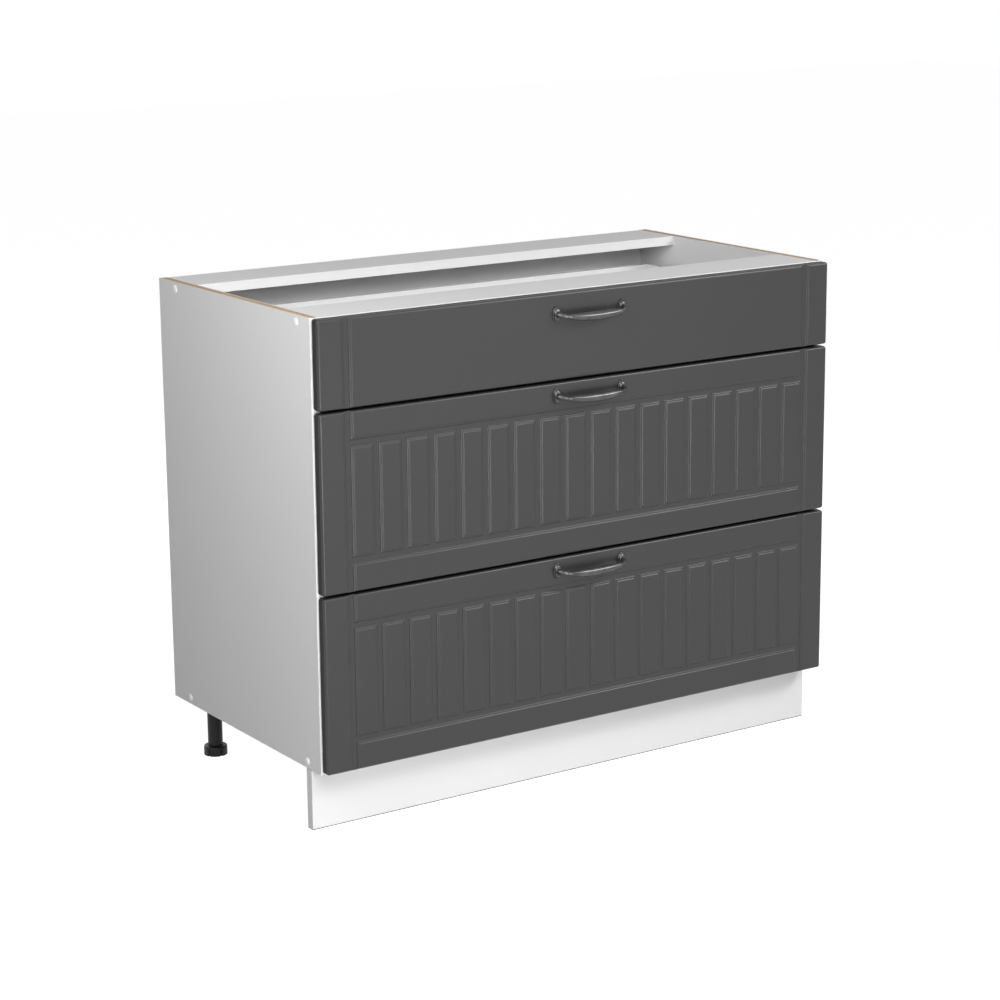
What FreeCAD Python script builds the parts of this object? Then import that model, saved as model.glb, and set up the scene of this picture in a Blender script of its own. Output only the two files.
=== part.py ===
"""Kitchen base cabinet with one shallow and two deep drawers on ball-bearing runners.

Millimetres. +Z is up, the drawer fronts face -Y, and the origin lies on the floor under the
middle of the cabinet's outer box. "Left" is the side at -X, seen by someone facing the fronts.
Depths are measured from the front edge of the carcass, positive towards the wall.
"""
import FreeCAD, Part
import os

from FreeCAD import Vector

# Driving dimensions -------------------------------------------------------------------------
WIDTH = 1000.0            # outside width of the carcass
DEPTH = 500.0             # depth of the side panels
CARCASS_HEIGHT = 720.0    # height of the side panels
LEG_HEIGHT = 100.0        # floor to the underside of the carcass
BOARD = 16.0              # coated particle board
BAND = 1.0                # edge band on the visible front edges
BACK_SHEET = 3.0          # hardboard back
BACK_GROOVE = 8.0         # how far the back enters each side panel
BACK_SETBACK = 3.0        # side panel left behind the back
STRETCHER_DEPTH = 100.0
FRONT_GAP = 2.5           # carcass edge to the back of a drawer front
FRONT_MARGIN = 2.0        # how far the fronts stay inside the carcass width
FRONT_REVEAL = 3.0        # lowest front above the underside of the carcass
FRONT_SPACE = 4.0         # gap between two fronts
HANDLE_REACH = 29.3       # front face to the foremost point of the handle

DRAWERS = (
    # name, front height, front base to box base, box height, box base to runner, fluted, handle drop
    ("bottom", 284.0, 22.0, 200.0, 70.0, True, 21.5),
    ("middle", 284.0, 16.0, 200.0, 70.0, True, 21.5),
    ("top", 140.0, 6.0, 80.0, 40.0, False, 34.0),
)

# Milled pattern of the fronts: a broad shallow bevel with a narrower slot in its floor
FRAME_CENTRE = 50.0       # outline of the front to the centre of the frame groove
FLUTES = 18               # slats across a fluted front
BEVEL_HALF = 9.5
LEDGE_HALF = 6.7
SLOT_TOP_HALF = 4.9
SLOT_FLOOR_HALF = 3.9
LEDGE_DEPTH = 1.2
SLOT_DEPTH = 3.2
CUTTER_LIFT = 1.0         # cutter starts this far outside the face
FRONT_ROUND = 4.0         # rounding of the face's edges
FRONT_CORNER = 4.2        # rounding of the outline's corners

# Runners: three nested channels; the heights are half heights about the runner's centre line
RUNNER_LENGTH = 450.0
RUNNER_SPACE = 12.7       # side clearance that a runner fills
RUNNER_START = 2.0        # carcass edge to the front of a runner
STEEL = 1.2
OUTER_HALF, OUTER_REACH = 22.5, (0.0, 10.4)
CENTRE_HALF, CENTRE_REACH = 18.2, (2.2, 11.0)
INNER_HALF, INNER_REACH = 13.5, (4.2, RUNNER_SPACE)
STOP_HALF = 8.0
STOP_ROOM = 2.4           # centre and inner channels end this far before the outer one
RUNNER_SCREW_DEPTHS = (35.0, 227.0, 419.0)

# Drawer boxes
BOX_SIDE = 12.0
BOX_BACK = 12.0
BOX_BOTTOM = 8.0
BOX_GROOVE = 6.0          # how far the bottom enters a box side
BOTTOM_RAISE = 10.0       # box edge to the underside of its bottom
BOX_REAR = 452.5          # carcass edge to the outer face of the box back

# Handle
HOLE_SPACING = 128.0
ROSETTE = (
    # distance from the front face, half width, half height
    (0.0, 7.4, 13.0),
    (1.8, 7.4, 13.0),
    (2.7, 6.8, 12.2),
    (3.0, 6.4, 11.0),
    (4.8, 6.2, 9.0),
    (6.2, 5.8, 6.6),
)
HANDLE_BOW = (
    # distance from the middle of the handle, from the front face, drop, radius
    (64.0, 4.5, 0.0, 5.2),
    (63.2, 8.0, 0.1, 4.9),
    (61.4, 11.6, 0.4, 4.4),
    (58.9, 14.9, 0.9, 3.8),
    (55.9, 17.6, 1.5, 3.3),
    (53.0, 19.3, 2.0, 3.0),
    (50.8, 20.1, 2.3, 3.3),
    (48.0, 20.6, 2.6, 4.2),
    (41.0, 21.1, 3.2, 5.1),
    (29.0, 21.7, 4.1, 6.2),
    (15.0, 22.0, 4.7, 6.9),
    (0.0, 22.1, 4.9, 7.2),
)

# Legs, plinth and small parts
LEG_INSET = 48.0          # outer side face to leg axis
LEG_FRONT_DEPTH = 84.0
LEG_REAR_DEPTH = 450.0
LEG_RADIUS = 12.6
LEG_BORE = 10.3
LEG_BORE_TOP = 90.0
LEG_PLATE = (60.0, 4.0)   # side and thickness of the mounting plate
LEG_SCREW_OFFSET = 23.0
FOOT_RADIUS = 20.0
FOOT_HEIGHT = 16.0
FOOT_ROUND = 2.5
FOOT_NOTCHES = 6
FOOT_NOTCH = (3.0, 2.0, 12.0)  # width, depth into the rim, height
FOOT_GAP = 0.4
THREAD_RADII = (10.0, 8.8)
THREAD_PITCH = 4.0
THREAD_TURNS = 13
PLINTH_DEPTH = 30.0       # carcass edge to the plinth's face
PLINTH_GAP = 1.0          # plinth to the underside of the carcass
SEAL_HEIGHT = 2.5
SEAL_TONGUE = (2.0, 6.0)  # thickness and height in the plinth's groove
CLIP_HEIGHT = (52.0, 68.0)
CLIP_WALL = 3.0
CLIP_PLATE = (36.0, 3.0, 4.0)  # width, thickness, and height beyond the ring at each end
CLIP_ARM = 14.0
CLIP_MOUTH = 17.0         # opening at the back of the clip's ring

ASSEMBLY_SCREW = (2.5, 50.0, 5.0, 3.0)    # shank radius, length, head radius, head length
ASSEMBLY_DEPTHS = (42.0, 442.0)
ASSEMBLY_EDGE = 11.0      # screw axis to the top or bottom edge of a side panel
CAP = (6.5, 0.5, 2.2)     # radius, height of its rim, height of its dome outside the board
SMALL_SCREW = (1.8, 15.0, 3.7, 0.6)
LEG_SCREW = (1.8, 15.0, 3.7, 2.0)
BOX_SCREW = (2.0, 38.0, 4.0, 2.0)
BOX_SCREW_MARGIN = 14.0   # screw axis to the upper or lower edge of a box back
HANDLE_SCREW = (2.0, 29.0, 4.2, 2.5)
CAM = (7.5, 9.5, 24.0)    # radius, depth into the box side, distance from its front end
CAM_BOLT = (3.0, 11.0)    # radius, length in the front
CAM_LEVELS = (0.32, 0.8)  # share of the box height
WORKTOP_HOLE = (2.5, 380.0)    # radius, distance from the middle of the cabinet

# Derived places -----------------------------------------------------------------------------
OVERHANG = FRONT_GAP + BOARD + HANDLE_REACH
EDGE = (OVERHANG - DEPTH) / 2.0           # Y of the carcass's front edge
FRONT_BACK = -FRONT_GAP
FRONT_FACE = FRONT_BACK - BOARD
HALF = WIDTH / 2.0
INNER = HALF - BOARD
BASE = LEG_HEIGHT
TOP = BASE + CARCASS_HEIGHT
REAR = DEPTH - BACK_SETBACK - BACK_SHEET  # depth of the bottom panel and the rear stretcher
BOX_HALF = INNER - RUNNER_SPACE
SIDES = (("left", -1.0), ("right", 1.0))
X_AXIS, Y_AXIS, Z_AXIS = Vector(1, 0, 0), Vector(0, 1, 0), Vector(0, 0, 1)


# Helpers ------------------------------------------------------------------------------------
def point(x, depth, z):
    """A point given by its depth behind the carcass's front edge."""
    return Vector(x, EDGE + depth, z)


def board(x0, x1, d0, d1, z0, z1):
    """A rectangular block between two places on each axis."""
    low, high = min(x0, x1), max(x0, x1)
    return Part.makeBox(high - low, d1 - d0, z1 - z0, point(low, d0, z0))


def prism(corners, run):
    """A closed outline extruded along a vector."""
    wire = Part.makePolygon(corners + corners[:1])
    return Part.Face(wire).extrude(run)


def screw(size, start, direction):
    """A screw whose head starts at a point and whose shank runs along a direction."""
    shank_radius, length, head_radius, head_length = size
    head = Part.makeCylinder(head_radius, head_length, start, direction)
    shank = Part.makeCylinder(shank_radius, length, start, direction)
    return head.fuse(shank).removeSplitter()


def group(shapes):
    """Separate solids that share one node."""
    return Part.makeCompound([solid for shape in shapes for solid in shape.Solids])


def housed(shape, tools):
    """A piece with the room cut out that other pieces take in it."""
    return shape.cut(tools).removeSplitter() if tools else shape


def save(name, shape):
    """One STEP file per sub-part, made of valid closed solids."""
    solids = shape.Solids
    assert solids and all(solid.isValid() and solid.Volume > 0 for solid in solids), name
    out = solids[0] if len(solids) == 1 else Part.makeCompound(solids)
    out.exportStep(os.path.join("parts", name + ".step"))


# Drawer fronts ------------------------------------------------------------------------------
def groove_outline():
    """Half widths and depths of the milled groove, from one rim to the other."""
    lift_half = BEVEL_HALF + CUTTER_LIFT * (BEVEL_HALF - LEDGE_HALF) / LEDGE_DEPTH
    half = [
        (lift_half, -CUTTER_LIFT),
        (LEDGE_HALF, LEDGE_DEPTH),
        (SLOT_TOP_HALF, LEDGE_DEPTH),
        (SLOT_FLOOR_HALF, SLOT_DEPTH),
    ]
    return [(-u, d) for u, d in half] + [(u, d) for u, d in reversed(half)]


def upright_groove(x, z0, z1):
    corners = [point(x + u, FRONT_FACE + d, z0) for u, d in groove_outline()]
    return prism(corners, Vector(0, 0, z1 - z0))


def level_groove(z, x0, x1):
    corners = [point(x0, FRONT_FACE + d, z + u) for u, d in groove_outline()]
    return prism(corners, Vector(x1 - x0, 0, 0))


def drawer_front(z0, height, fluted):
    """A thick board with rounded face edges, a frame groove and, on deep drawers, slats."""
    half = HALF - FRONT_MARGIN
    z1 = z0 + height
    blank = board(-half, half, FRONT_FACE, FRONT_BACK, z0, z1)
    corners = [edge for edge in blank.Edges if abs(edge.tangentAt(edge.FirstParameter).y) > 0.5]
    blank = blank.makeFillet(FRONT_CORNER, corners)
    face_y = EDGE + FRONT_FACE
    rim = [edge for edge in blank.Edges if edge.BoundBox.YMax < face_y + FRONT_ROUND]
    blank = blank.makeFillet(FRONT_ROUND, rim)
    reach = half - FRAME_CENTRE
    cuts = [upright_groove(side * reach, z0 - BOARD, z1 + BOARD) for side in (-1, 1)]
    if fluted:
        low, high = z0 + FRAME_CENTRE, z1 - FRAME_CENTRE
        cuts += [level_groove(z, -reach, reach) for z in (low, high)]
        pitch = 2.0 * reach / FLUTES
        cuts += [upright_groove(-reach + pitch * i, low, high) for i in range(1, FLUTES)]
    return blank.cut(cuts).removeSplitter()


# Handle -------------------------------------------------------------------------------------
def ellipse_wire(x, depth, z, half_width, half_height):
    centre = point(x, depth, z)
    if half_height > half_width:
        curve = Part.Ellipse(centre + Z_AXIS * half_height, centre + X_AXIS * half_width, centre)
    else:
        curve = Part.Ellipse(centre + X_AXIS * half_width, centre + Z_AXIS * half_height, centre)
    return Part.Wire([curve.toShape()])


def rosette(x, z):
    """Oval foot of the handle, stepped like a small turned moulding."""
    wires = [ellipse_wire(x, FRONT_FACE - out, z, wide, tall) for out, wide, tall in ROSETTE]
    return Part.makeLoft(wires, True, True)


def upright_section(tangent):
    """Rotation that turns a flat section square to a tangent, with its seam on top."""
    forward = Vector(tangent).normalize()
    across = Z_AXIS.cross(forward).normalize()
    return FreeCAD.Rotation(forward.cross(across), -across, forward, "ZXY")


def bow(z):
    """Spindle-shaped grip on two slender necks, as one loft through round sections."""
    stations = [(-u, out, drop, r) for u, out, drop, r in HANDLE_BOW]
    stations += [(u, out, drop, r) for u, out, drop, r in reversed(HANDLE_BOW[:-1])]
    centres = [point(u, FRONT_FACE - out, z - drop) for u, out, drop, r in stations]
    wires = []
    for i, centre in enumerate(centres):
        tangent = centres[min(i + 1, len(centres) - 1)] - centres[max(i - 1, 0)]
        if i == 0:
            tangent = -Y_AXIS
        if i == len(centres) - 1:
            tangent = Y_AXIS
        circle = Part.makeCircle(stations[i][3])
        circle.Placement = FreeCAD.Placement(centre, upright_section(tangent))
        wires.append(Part.Wire([circle]))
    return Part.makeLoft(wires, True, False)


def handle(z):
    feet = [rosette(side * HOLE_SPACING / 2.0, z) for side in (-1, 1)]
    return bow(z).fuse(feet).removeSplitter()


# Runners ------------------------------------------------------------------------------------
def channel(side, half, reach, web_first, z, d0, d1):
    """A U-shaped steel channel; its web lies on the carcass side or on the box side."""
    near, far = reach
    web = (near, near + STEEL) if web_first else (far - STEEL, far)

    def block(t0, t1, h0, h1):
        x0, x1 = (side * (INNER - t) for t in (t0, t1))
        return board(x0, x1, d0, d1, z + h0, z + h1)

    pieces = [
        block(near, far, half - STEEL, half),
        block(near, far, -half, STEEL - half),
    ]
    return block(web[0], web[1], -half, half).fuse(pieces).removeSplitter()


def rear_stop(side, z):
    """Tab at the back of the outer channel that the centre channel closes against."""
    end = RUNNER_START + RUNNER_LENGTH
    x0, x1 = side * (INNER - STEEL), side * (INNER - OUTER_REACH[1])
    return board(x0, x1, end - STEEL, end, z - STOP_HALF, z + STOP_HALF)


def runner(side, z):
    """Outer, centre and inner channel of one runner."""
    start, end = RUNNER_START, RUNNER_START + RUNNER_LENGTH
    outer = channel(side, OUTER_HALF, OUTER_REACH, True, z, start, end)
    outer = outer.fuse(rear_stop(side, z)).removeSplitter()
    centre = channel(side, CENTRE_HALF, CENTRE_REACH, True, z, start, end - STOP_ROOM)
    inner = channel(side, INNER_HALF, INNER_REACH, False, z, start, end - STOP_ROOM)
    return outer, centre, inner


def outer_runner_screws(side, z):
    """Flat-headed screws from the outer channel into the side panel."""
    x = side * (INNER - STEEL - SMALL_SCREW[3])
    return [screw(SMALL_SCREW, point(x, d, z), X_AXIS * side) for d in RUNNER_SCREW_DEPTHS]


def inner_runner_screws(side, z):
    """The same screws from the inner channel into the box side, cut to its thickness."""
    x = side * (BOX_HALF + STEEL + SMALL_SCREW[3])
    size = (SMALL_SCREW[0], BOX_SIDE - STEEL, SMALL_SCREW[2], SMALL_SCREW[3])
    return [screw(size, point(x, d, z), X_AXIS * -side) for d in RUNNER_SCREW_DEPTHS]


# Drawers ------------------------------------------------------------------------------------
def box_side(side, z0, height):
    return board(side * (BOX_HALF - BOX_SIDE), side * BOX_HALF, FRONT_BACK, BOX_REAR, z0, z0 + height)


def box_bottom(z0):
    half = BOX_HALF - BOX_SIDE + BOX_GROOVE
    low = z0 + BOTTOM_RAISE
    return board(-half, half, FRONT_BACK, BOX_REAR, low, low + BOX_BOTTOM)


def box_back(z0, height):
    half = BOX_HALF - BOX_SIDE
    low = z0 + BOTTOM_RAISE + BOX_BOTTOM
    return board(-half, half, BOX_REAR - BOX_BACK, BOX_REAR, low, z0 + height)


def box_screws(side, z0, height):
    """Screws through a box side into the end of the box back."""
    depth = BOX_REAR - BOX_BACK / 2.0
    levels = (z0 + BOTTOM_RAISE + BOX_BOTTOM + BOX_SCREW_MARGIN, z0 + height - BOX_SCREW_MARGIN)
    return [screw(BOX_SCREW, point(side * BOX_HALF, depth, z), X_AXIS * -side) for z in levels]


def cams(side, z0, height):
    """Cam discs let into the inner face of a box side, and the bolts that they pull."""
    inner_face = side * (BOX_HALF - BOX_SIDE)
    radius, depth, setback = CAM
    bolt_radius, grip = CAM_BOLT
    middle = side * (BOX_HALF - BOX_SIDE / 2.0)
    pieces = []
    for share in CAM_LEVELS:
        z = z0 + height * share
        bolt = Part.makeCylinder(bolt_radius, grip + setback, point(middle, FRONT_BACK - grip, z), Y_AXIS)
        centre = point(inner_face, FRONT_BACK + setback, z)
        disc = Part.makeCylinder(radius, depth, centre, X_AXIS * side)
        pieces += [bolt, disc.cut(bolt)]
    return pieces


def handle_screws(z):
    """Machine screws through the front into the feet of the handle."""
    head_seat = FRONT_BACK + HANDLE_SCREW[3]
    return [
        screw(HANDLE_SCREW, point(side * HOLE_SPACING / 2.0, head_seat, z), -Y_AXIS)
        for side in (-1, 1)
    ]


def drawer(name, base, spec):
    """Every piece of one drawer and of its two runners, by node name."""
    height, box_raise, box_height, runner_raise, fluted, handle_drop = spec
    box_z = base + box_raise
    runner_z = box_z + runner_raise
    handle_z = base + height - handle_drop
    grips = handle_screws(handle_z)
    bottom = box_bottom(box_z)
    back = box_back(box_z, box_height)
    front = drawer_front(base, height, fluted)
    fasteners = list(grips)
    outer_screws = []
    nodes = {}
    for label, side in SIDES:
        outer, centre, inner = runner(side, runner_z)
        to_carcass = outer_runner_screws(side, runner_z)
        to_box = inner_runner_screws(side, runner_z)
        joints = box_screws(side, box_z, box_height)
        locks = cams(side, box_z, box_height)
        outer_screws += to_carcass
        fasteners += to_box + joints + locks
        wall = housed(box_side(side, box_z, box_height), [bottom] + to_box + joints + locks)
        back = housed(back, joints)
        front = housed(front, locks)
        nodes[f"{name}_drawer_side_{label}"] = wall
        nodes[f"{name}_outer_rail_{label}"] = housed(outer, to_carcass)
        nodes[f"{name}_centre_rail_{label}"] = centre
        nodes[f"{name}_inner_rail_{label}"] = housed(inner, to_box)
    nodes[f"{name}_drawer_front"] = housed(front, grips)
    nodes[f"{name}_drawer_handle"] = handle(handle_z).cut(grips)
    nodes[f"{name}_drawer_bottom"] = bottom
    nodes[f"{name}_drawer_back"] = back
    nodes[f"{name}_drawer_screws"] = group(fasteners)
    return nodes, outer_screws


# Carcass ------------------------------------------------------------------------------------
def assembly_screws():
    """One screw per corner of the bottom panel and per end of a stretcher."""
    found = []
    for label, side in SIDES:
        for z in (BASE + ASSEMBLY_EDGE, TOP - ASSEMBLY_EDGE):
            for depth in ASSEMBLY_DEPTHS:
                found.append(screw(ASSEMBLY_SCREW, point(side * HALF, depth, z), X_AXIS * -side))
    return found


def screw_cap(side, depth, z):
    """Domed plastic cap that covers the head of an assembly screw."""
    radius, rim, height = CAP
    base, crown = point(side * HALF, depth, z), point(side * (HALF + height), depth, z)
    edge_of_rim = point(side * (HALF + rim), depth + radius, z)
    sphere = (radius ** 2 + (height - rim) ** 2) / (2.0 * (height - rim))
    middle = crown - X_AXIS * side * sphere
    half_way = (edge_of_rim + crown) / 2.0 - middle
    dome = Part.Arc(edge_of_rim, middle + half_way.normalize() * sphere, crown).toShape()
    flat = Part.makePolygon([crown, base, base + Y_AXIS * radius, edge_of_rim])
    outline = Part.Wire(flat.Edges + [dome])
    return Part.Face(outline).revolve(base, X_AXIS, 360.0)


def screw_caps():
    levels = (BASE + ASSEMBLY_EDGE, TOP - ASSEMBLY_EDGE)
    return [screw_cap(side, d, z) for label, side in SIDES for z in levels for d in ASSEMBLY_DEPTHS]


def edge_bands():
    """Strips on the front edges of the boards."""
    upright = [board(side * INNER, side * HALF, 0.0, BAND, BASE, TOP) for label, side in SIDES]
    low = board(-INNER, INNER, 0.0, BAND, BASE, BASE + BOARD)
    rear_edge = REAR - STRETCHER_DEPTH
    level = [board(-INNER, INNER, d, d + BAND, TOP - BOARD, TOP) for d in (0.0, rear_edge)]
    return upright + [low] + level


def side_panel(side, tools):
    return housed(board(side * INNER, side * HALF, BAND, DEPTH, BASE, TOP), tools)


def back_panel():
    half = INNER + BACK_GROOVE
    return board(-half, half, REAR, REAR + BACK_SHEET, BASE, TOP)


def stretcher(d0, screws):
    """Flat rail under the worktop with its fixing holes."""
    radius, reach = WORKTOP_HOLE
    d1 = d0 + STRETCHER_DEPTH
    rail = board(-INNER, INNER, d0 + BAND, d1, TOP - BOARD, TOP)
    middle = (d0 + d1) / 2.0
    holes = [
        Part.makeCylinder(radius, BOARD, point(side * reach, middle, TOP - BOARD), Z_AXIS)
        for side in (-1, 1)
    ]
    return housed(rail, holes + screws)


# Legs and plinth ----------------------------------------------------------------------------
def leg_places():
    """Axis of each leg, by name."""
    places = {}
    for label, side in SIDES:
        x = side * (HALF - LEG_INSET)
        places[f"front_{label}"] = (x, LEG_FRONT_DEPTH)
        places[f"rear_{label}"] = (x, LEG_REAR_DEPTH)
    return places


def leg_screws(x, depth):
    start = BASE - LEG_PLATE[1] - LEG_SCREW[3]
    offsets = (-LEG_SCREW_OFFSET, LEG_SCREW_OFFSET)
    return [screw(LEG_SCREW, point(x + a, depth + b, start), Z_AXIS) for a in offsets for b in offsets]


def leg(x, depth, screws):
    """Mounting plate with a tube that takes the threaded foot."""
    half, thick = LEG_PLATE[0] / 2.0, LEG_PLATE[1]
    plate = board(x - half, x + half, depth - half, depth + half, BASE - thick, BASE)
    corners = [edge for edge in plate.Edges if abs(edge.tangentAt(edge.FirstParameter).z) > 0.5]
    plate = plate.makeFillet(thick, corners)
    tube_foot = FOOT_HEIGHT + FOOT_GAP
    tube = Part.makeCylinder(LEG_RADIUS, BASE - tube_foot, point(x, depth, tube_foot), Z_AXIS)
    bore = Part.makeCylinder(LEG_BORE, LEG_BORE_TOP - tube_foot, point(x, depth, tube_foot), Z_AXIS)
    return plate.fuse(tube).cut([bore] + screws).removeSplitter()


def foot(x, depth):
    """Notched disc with a coarse thread that screws up into the leg."""
    disc = Part.makeCylinder(FOOT_RADIUS, FOOT_HEIGHT, point(x, depth, 0), Z_AXIS)
    rims = [edge for edge in disc.Edges if edge.Closed and edge.BoundBox.ZMin > FOOT_HEIGHT / 2.0]
    disc = disc.makeFillet(FOOT_ROUND, rims)
    width, cut_depth, tall = FOOT_NOTCH
    for i in range(FOOT_NOTCHES):
        angle = 360.0 * (i + 0.5) / FOOT_NOTCHES
        inner = FOOT_RADIUS - cut_depth
        notch = Part.makeBox(2.0 * cut_depth, width, tall, point(x + inner, depth - width / 2.0, 0))
        notch.rotate(point(x, depth, 0), Z_AXIS, angle)
        disc = disc.cut(notch)
    crest, root = THREAD_RADII
    outline = [point(x, depth, FOOT_HEIGHT - THREAD_PITCH)]
    outline.append(point(x + root, depth, FOOT_HEIGHT - THREAD_PITCH))
    z = FOOT_HEIGHT
    for turn in range(THREAD_TURNS):
        steps = ((root, 0.0), (crest, 0.25), (crest, 0.5), (root, 0.75))
        outline += [point(x + r, depth, z + THREAD_PITCH * f) for r, f in steps]
        z += THREAD_PITCH
    outline.append(point(x, depth, z - THREAD_PITCH * 0.25))
    stud = Part.Face(Part.makePolygon(outline + outline[:1]))
    stud = stud.revolve(point(x, depth, 0), Z_AXIS, 360.0)
    return disc.fuse(stud).removeSplitter()


def plinth_clip(x):
    """Plate on the back of the plinth with an open ring that snaps on a front leg."""
    low, high = CLIP_HEIGHT
    tall = high - low
    rear = PLINTH_DEPTH + BOARD
    wide, thick, beyond = CLIP_PLATE
    half = wide / 2.0
    plate = board(x - half, x + half, rear, rear + thick, low - beyond, high + beyond)
    arm = board(x - CLIP_ARM / 2.0, x + CLIP_ARM / 2.0, rear, LEG_FRONT_DEPTH - LEG_RADIUS, low, high)
    centre = point(x, LEG_FRONT_DEPTH, low)
    ring = Part.makeCylinder(LEG_RADIUS + CLIP_WALL, tall, centre, Z_AXIS)
    bore = Part.makeCylinder(LEG_RADIUS, tall, centre, Z_AXIS)
    mouth = board(x - CLIP_MOUTH / 2.0, x + CLIP_MOUTH / 2.0, LEG_FRONT_DEPTH,
                  LEG_FRONT_DEPTH + 2.0 * LEG_RADIUS, low, high)
    return plate.fuse([arm, ring]).cut([bore, mouth]).removeSplitter()


def plinth_seal():
    """Soft lip under the plinth with a tongue in its groove."""
    thick, tall = SEAL_TONGUE
    middle = PLINTH_DEPTH + BOARD / 2.0
    lip = board(-HALF, HALF, PLINTH_DEPTH, PLINTH_DEPTH + BOARD, 0.0, SEAL_HEIGHT)
    tongue = board(-HALF, HALF, middle - thick / 2.0, middle + thick / 2.0, SEAL_HEIGHT, SEAL_HEIGHT + tall)
    return lip.fuse(tongue).removeSplitter()


def plinth_panel(seal):
    panel = board(-HALF, HALF, PLINTH_DEPTH, PLINTH_DEPTH + BOARD, SEAL_HEIGHT, BASE - PLINTH_GAP)
    return housed(panel, [seal])


# Whole cabinet ------------------------------------------------------------------------------
def build():
    nodes = {}
    runner_screws = []
    base = BASE + FRONT_REVEAL
    for name, *spec in DRAWERS:
        pieces, screws = drawer(name, base, spec)
        nodes.update(pieces)
        runner_screws += screws
        base += spec[0] + FRONT_SPACE

    joints = assembly_screws()
    back = back_panel()
    for label, side in SIDES:
        nodes[f"side_panel_{label}"] = side_panel(side, [back] + joints + runner_screws)
    nodes["back_panel"] = back
    nodes["front_stretcher"] = stretcher(0.0, joints)
    nodes["rear_stretcher"] = stretcher(REAR - STRETCHER_DEPTH, joints)
    nodes["edge_bands"] = group(edge_bands())
    nodes["assembly_screws"] = group(joints)
    nodes["screw_caps"] = group(screw_caps())

    feet_screws = []
    for place, (x, depth) in leg_places().items():
        screws = leg_screws(x, depth)
        feet_screws += screws
        nodes[f"leg_{place}"] = leg(x, depth, screws)
        nodes[f"foot_{place}"] = foot(x, depth)
    bottom = board(-INNER, INNER, BAND, REAR, BASE, BASE + BOARD)
    nodes["bottom_panel"] = housed(bottom, joints + feet_screws)
    nodes["chipboard_screws"] = group(runner_screws + feet_screws)

    seal = plinth_seal()
    nodes["plinth_seal"] = seal
    nodes["plinth_panel"] = plinth_panel(seal)
    nodes["plinth_clips"] = group([plinth_clip(side * (HALF - LEG_INSET)) for label, side in SIDES])
    return nodes


os.makedirs("parts", exist_ok=True)
for node_name, node_shape in build().items():
    save(node_name, node_shape)
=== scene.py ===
"""Looks of a kitchen base cabinet with graphite drawer fronts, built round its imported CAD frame.

Metres. The fronts face -Y and +Z is up. Sizes written in millimetres pass through MM.
"""
import math

import bpy
from mathutils import Matrix, Vector

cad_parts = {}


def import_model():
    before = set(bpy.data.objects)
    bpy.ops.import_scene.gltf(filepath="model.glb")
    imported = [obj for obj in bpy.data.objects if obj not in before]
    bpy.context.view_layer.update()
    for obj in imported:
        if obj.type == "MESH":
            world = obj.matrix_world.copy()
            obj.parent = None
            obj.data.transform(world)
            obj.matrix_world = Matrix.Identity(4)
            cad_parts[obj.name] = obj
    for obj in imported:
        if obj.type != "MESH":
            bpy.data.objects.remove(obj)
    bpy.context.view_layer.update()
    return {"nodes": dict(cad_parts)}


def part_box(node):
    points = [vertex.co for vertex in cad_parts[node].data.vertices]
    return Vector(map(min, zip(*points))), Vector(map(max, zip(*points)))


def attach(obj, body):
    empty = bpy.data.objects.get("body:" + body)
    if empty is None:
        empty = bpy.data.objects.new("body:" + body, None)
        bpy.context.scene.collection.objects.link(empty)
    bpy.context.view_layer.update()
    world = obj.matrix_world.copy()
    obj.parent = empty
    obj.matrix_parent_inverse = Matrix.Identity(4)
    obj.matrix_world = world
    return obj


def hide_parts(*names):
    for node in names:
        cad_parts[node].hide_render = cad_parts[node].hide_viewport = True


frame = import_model()
NODES = frame["nodes"]
DRAWERS = ("bottom", "middle", "top")
PLAIN_DRAWER = "top"          # the shallow front has a frame groove at each end and no slats

MM = 0.001

# Camera, from the photograph's perspective --------------------------------------------------
CAMERA_PLACE = (-2.396, -3.593, 1.463)
CAMERA_YAW = 33.575           # degrees from +Y towards +X
CAMERA_PITCH = 13.489         # degrees downwards
CAMERA_ROLL = -0.498          # degrees
LENS_MM = 93.98
SENSOR_MM = 36.0
CAMERA_REACH = 50.0           # far end of what the camera sees

# Stage --------------------------------------------------------------------------------------
WORLD_FILL = 0.1              # strength of the world where it isn't seen as the background
FLOOR_HALF = 12.0
FLOOR_GREY = (0.4, 0.4, 0.4)
FLOOR_ROUGHNESS = 0.9
FLOOR_GLOW = 0.95             # light that the floor gives off where it is seen
LAMPS = {
    # place, height of the point above the origin that it faces, width and height, watts
    "high_light": ((-0.8, -2.2, 1.7), 0.5, (1.0, 1.0), 20.0),
    "low_light": ((1.6, -3.0, 0.3), 0.6, (1.2, 0.6), 2.5),
    "front_fill": ((0.5, -3.2, 0.35), 0.3, (1.6, 0.5), 15.0),
    "strip_light": ((-0.62, -1.35, 0.35), 0.4, (0.16, 0.48), 6.0),
    "left_light": ((-1.35, -0.65, 1.4), 0.5, (0.8, 0.8), 11.6),
    "corner_light": ((1.35, -1.65, 1.7), 0.5, (1.1, 0.5), 26.0),
    "right_light": ((2.6, 0.9, 0.8), 0.5, (1.2, 1.2), 18.0),
    "rear_light": ((-0.2, 3.0, 1.0), 0.5, (1.2, 1.2), 19.0),
}
UNMIRRORED_LAMPS = ("front_fill",)    # they brighten a surface and don't show in its gloss

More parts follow.
